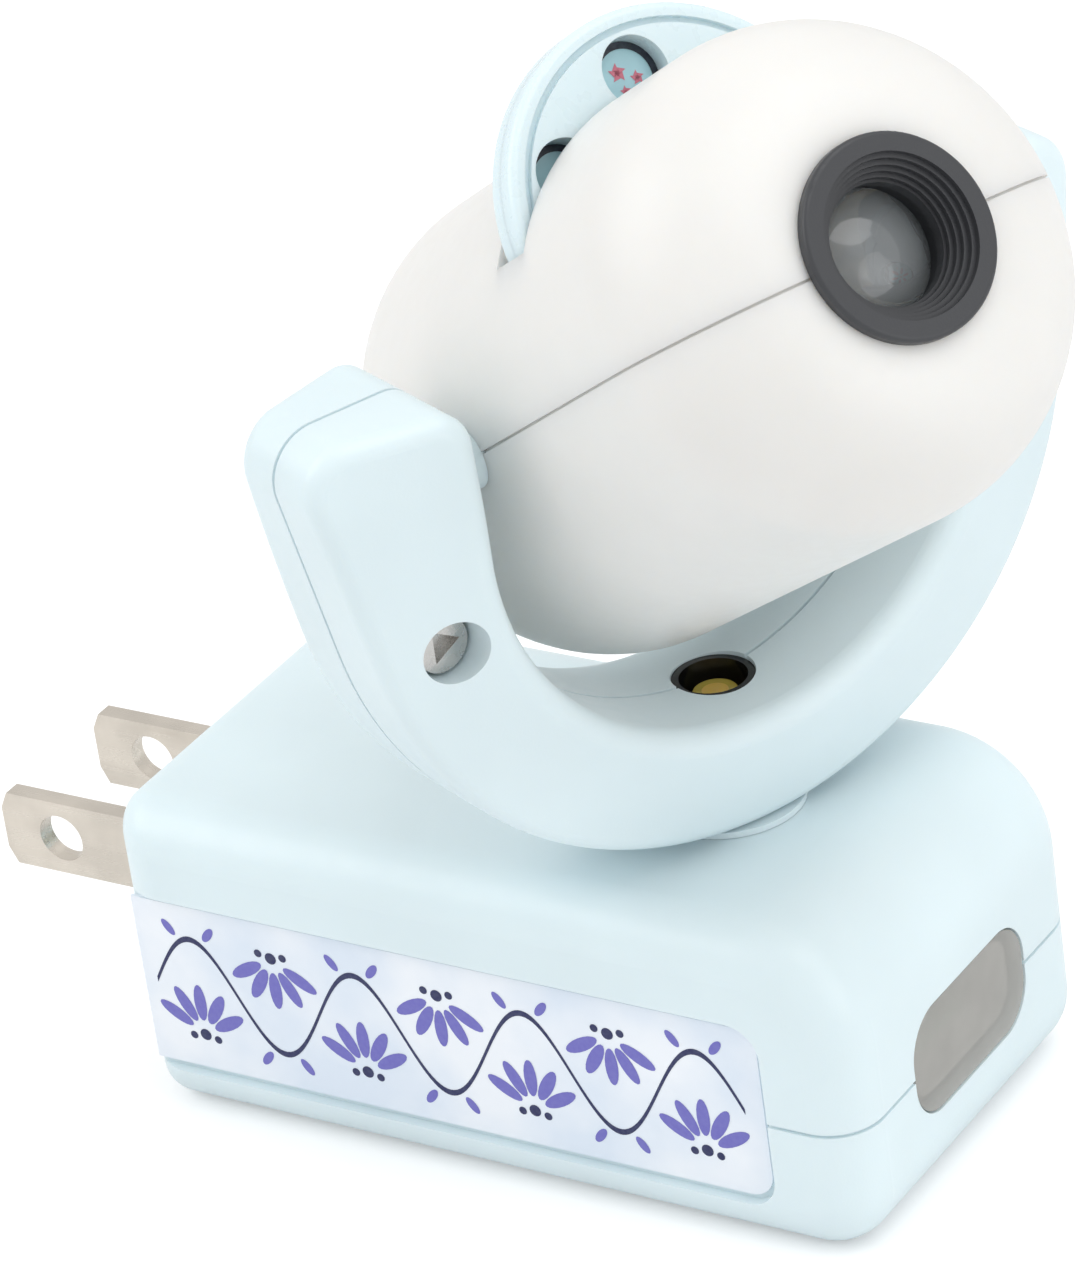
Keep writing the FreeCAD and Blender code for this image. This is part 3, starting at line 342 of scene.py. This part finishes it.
def side_print():
    """A print of the builder's own: one trailing vine with leaves, and a bloom and berries in each bend."""
    low, high = (Vector(corner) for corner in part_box("side_label"))
    left, right = low.x / MILLIMETRE + 1.2, high.x / MILLIMETRE - 1.6
    bottom, top = low.z / MILLIMETRE, high.z / MILLIMETRE
    middle = (bottom + top) / 2
    place = Matrix.Translation((0, low.y - LABEL_LIFT, 0)) @ Matrix.Rotation(math.pi / 2, 4, "X")
    waves = 3.5
    bends = int(2 * waves)
    rise = (top - bottom) * 0.3
    navy = [(vine, (left, right, middle, rise, waves, 0.5))]
    lavender = []
    for bend in range(bends):
        up = 1 if bend % 2 == 0 else -1
        x = left + (right - left) * (bend + 0.5) / bends
        foot = middle - up * rise * 0.95
        lavender.append((fan, (x, foot, 4.6, up)))
        navy.append((disc, (x, foot - up * 0.1, 0.5, 16)))
        for side in (-1, 1):
            navy.append((disc, (x + side * 1.1, foot - up * 0.35, 0.34, 14)))
            leaf = (x + side * 1.2, middle + up * rise, 0.36, 18, 2.2, up * side * 0.9, 0.95 * side)
            lavender.append((disc, leaf))
    drawn("navy_print", navy, "navy", "base", place)
    drawn("lavender_print", lavender, "lavender", "base", place)


def picture_ring(ink, outer, inner):
    """The dark border printed round each picture."""
    rim = bmesh.ops.create_circle(ink, segments=48, radius=outer)["verts"]
    hole = bmesh.ops.create_circle(ink, segments=48, radius=inner)["verts"]
    edges = {edge for vert in rim + hole for edge in vert.link_edges}
    bmesh.ops.bridge_loops(ink, edges=list(edges))


def star_mark(ink, x, y, size, points=5):
    """A star of narrow triangles round its middle."""
    for i in range(points):
        disc(ink, x, y, size * 0.36, 3, 1.6, 2 * math.pi * i / points + math.pi / 2, size * 0.3)


def moon_mark(ink, size):
    """A crescent: an outer arc and an inner arc joined point by point."""
    steps = 24
    rows = []
    for i in range(steps + 1):
        angle = math.radians(50 + 260 * i / steps)
        thick = size * 0.55 * math.sin(math.pi * i / steps) + 0.01
        inner = size - thick
        rows.append((
            ink.verts.new((size * math.cos(angle), size * math.sin(angle), 0)),
            ink.verts.new((inner * math.cos(angle) + 0.2 * thick, inner * math.sin(angle), 0))))
    for (a, b), (c, d) in zip(rows, rows[1:]):
        ink.faces.new((a, c, d, b))


def tree_mark(ink, size):
    """A fir tree of three tiers on a stem."""
    for i in range(3):
        disc(ink, 0, size * (0.45 - 0.42 * i), size * (0.36 + 0.12 * i), 3, 1.0, math.pi / 2)
    bar(ink, 0, -size * 0.85, size * 0.16, size * 0.3)


def boat_mark(ink, size):
    """A boat with two sails."""
    disc(ink, size * 0.12, size * 0.2, size * 0.5, 3, 1.2, math.pi / 2)
    disc(ink, -size * 0.35, size * 0.05, size * 0.3, 3, 1.2, math.pi / 2)
    bar(ink, 0, -size * 0.45, size * 1.3, size * 0.24)
    bar(ink, 0, -size * 0.62, size * 0.95, size * 0.14)


def hill_mark(ink, size):
    """Two peaks, the right one in front."""
    disc(ink, -size * 0.35, -size * 0.42, size * 0.55, 3, 1.0, math.pi / 2)
    disc(ink, size * 0.3, -size * 0.36, size * 0.68, 3, 1.0, math.pi / 2)


def film_pictures():
    """Small generic pictures, printed on the front of the six films."""
    stars = ((-0.5, 0.5, 0.9), (0.8, -0.3, 0.7), (-0.5, -0.9, 0.55))
    pictures = [
        ("moon", [(moon_mark, (1.3,)), (star_mark, (0.7, 0.4, 0.5))], "sun"),
        ("flower", [(blossom, (0, 0, 1.7, 6))], "rose"),
        ("tree", [(tree_mark, (1.3,))], "leaf"),
        ("stars", [(star_mark, star) for star in stars], "rose"),
        ("boat", [(boat_mark, (1.3,))], "lavender"),
        ("hills", [(hill_mark, (1.35,)), (disc, (0.7, 0.9, 0.38))], "leaf"),
    ]
    across = HEAD_AXIS.cross(Vector((0, 0, 1))).normalized()
    upward = across.cross(HEAD_AXIS)
    for i, (name, marks, finish) in enumerate(pictures, 1):
        low, high = (Vector(corner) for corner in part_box(f"film_{i}"))
        for side in (1, -1):
            centre = (low + high) / 2 + HEAD_AXIS * FILM_LIFT * side
            turned = Matrix((across * -side, upward, HEAD_AXIS * side)).transposed().to_4x4()
            place = Matrix.Translation(centre) @ turned
            end = "front" if side > 0 else "rear"
            drawn(f"{name}_picture_{end}", marks, finish, "picture_wheel", place)
            border = [(picture_ring, (2.58, 2.05))]
            drawn(f"{name}_border_{end}", border, "ring", "picture_wheel", place)


def lamp_phosphor():
    """The yellow die cup that shows through the nose of the saddle lamp."""
    low, high = (Vector(corner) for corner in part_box("glow_led"))
    top = Vector(((low.x + high.x) / 2, (low.y + high.y) / 2, high.z + LAMP_LIFT))
    drawn("lamp_phosphor", [(disc, (0, 0, 1.0))], "sun", "yoke", Matrix.Translation(top))


# Set

def pale_floor():
    """A wide pale floor; the camera sees it a little lighter than it is."""
    ground = bmesh.new()
    bmesh.ops.create_grid(ground, x_segments=1, y_segments=1, size=4.0)
    finish, tree, shader = new_finish("pale_floor", FLOOR_GREY, 0.9)
    shader.inputs["Specular IOR Level"].default_value = 0.1
    clouded(tree, shader, 3, (0.85, 0.855, 0.86), (0.87, 0.875, 0.88))
    path = add(tree, "ShaderNodeLightPath")
    seen = add(tree, "ShaderNodeMath", operation="MULTIPLY")
    seen.inputs[1].default_value = FLOOR_GLOW
    tree.links.new(path.outputs["Is Camera Ray"], seen.inputs[0])
    shader.inputs["Emission Color"].default_value = (1, 1, 1, 1)
    tree.links.new(seen.outputs[0], shader.inputs["Emission Strength"])
    placed("floor", ground, finish)


def soft_light(name, place, aim, size, power):
    """A white disc of light that faces its aim."""
    lamp = bpy.data.lights.new(name, "AREA")
    lamp.shape = "DISK"
    lamp.size = size
    lamp.energy = power
    holder = bpy.data.objects.new(name, lamp)
    holder.location = place
    holder.rotation_euler = (Vector(aim) - Vector(place)).to_track_quat("-Z", "Y").to_euler()
    bpy.context.collection.objects.link(holder)


def studio():
    """Plain white surroundings and three soft lights."""
    world = bpy.data.worlds.new("studio")
    bpy.context.scene.world = world
    world.use_nodes = True
    tree = world.node_tree
    sky = tree.nodes["Background"]
    sky.inputs["Color"].default_value = (1, 1, 1, 1)
    path = add(tree, "ShaderNodeLightPath")
    level = add(tree, "ShaderNodeMapRange")
    level.inputs["To Min"].default_value = WORLD_LEVEL
    level.inputs["To Max"].default_value = 1.0
    tree.links.new(path.outputs["Is Camera Ray"], level.inputs["Value"])
    tree.links.new(level.outputs["Result"], sky.inputs["Strength"])
    centre = (0, 0, 0.05)
    soft_light("key_light", (0.3, 0.1, 0.8), centre, 0.7, 2.1)
    soft_light("side_fill", (0.7, -0.05, 0.25), centre, 0.5, 0.8)
    soft_light("left_fill", (-0.5, -0.35, 0.5), centre, 0.6, 1.6)


def camera():
    """The photograph's view, found from the base's edges and the plug blades."""
    lens = bpy.data.cameras.new("camera")
    lens.sensor_fit = "VERTICAL"
    lens.sensor_height = SENSOR_HEIGHT
    lens.lens = FOCAL_PIXELS / PICTURE_HEIGHT * SENSOR_HEIGHT
    lens.clip_start = 0.01
    holder = bpy.data.objects.new("camera", lens)
    turned = Matrix((CAMERA_RIGHT, -Vector(CAMERA_DOWN), -Vector(CAMERA_AHEAD))).transposed().to_4x4()
    holder.matrix_world = Matrix.Translation(CAMERA_PLACE) @ turned
    bpy.context.collection.objects.link(holder)
    bpy.context.scene.camera = holder


dress_nodes()
side_print()
film_pictures()
lamp_phosphor()
pale_floor()
studio()
camera()
bpy.context.scene.view_settings.view_transform = "Standard"
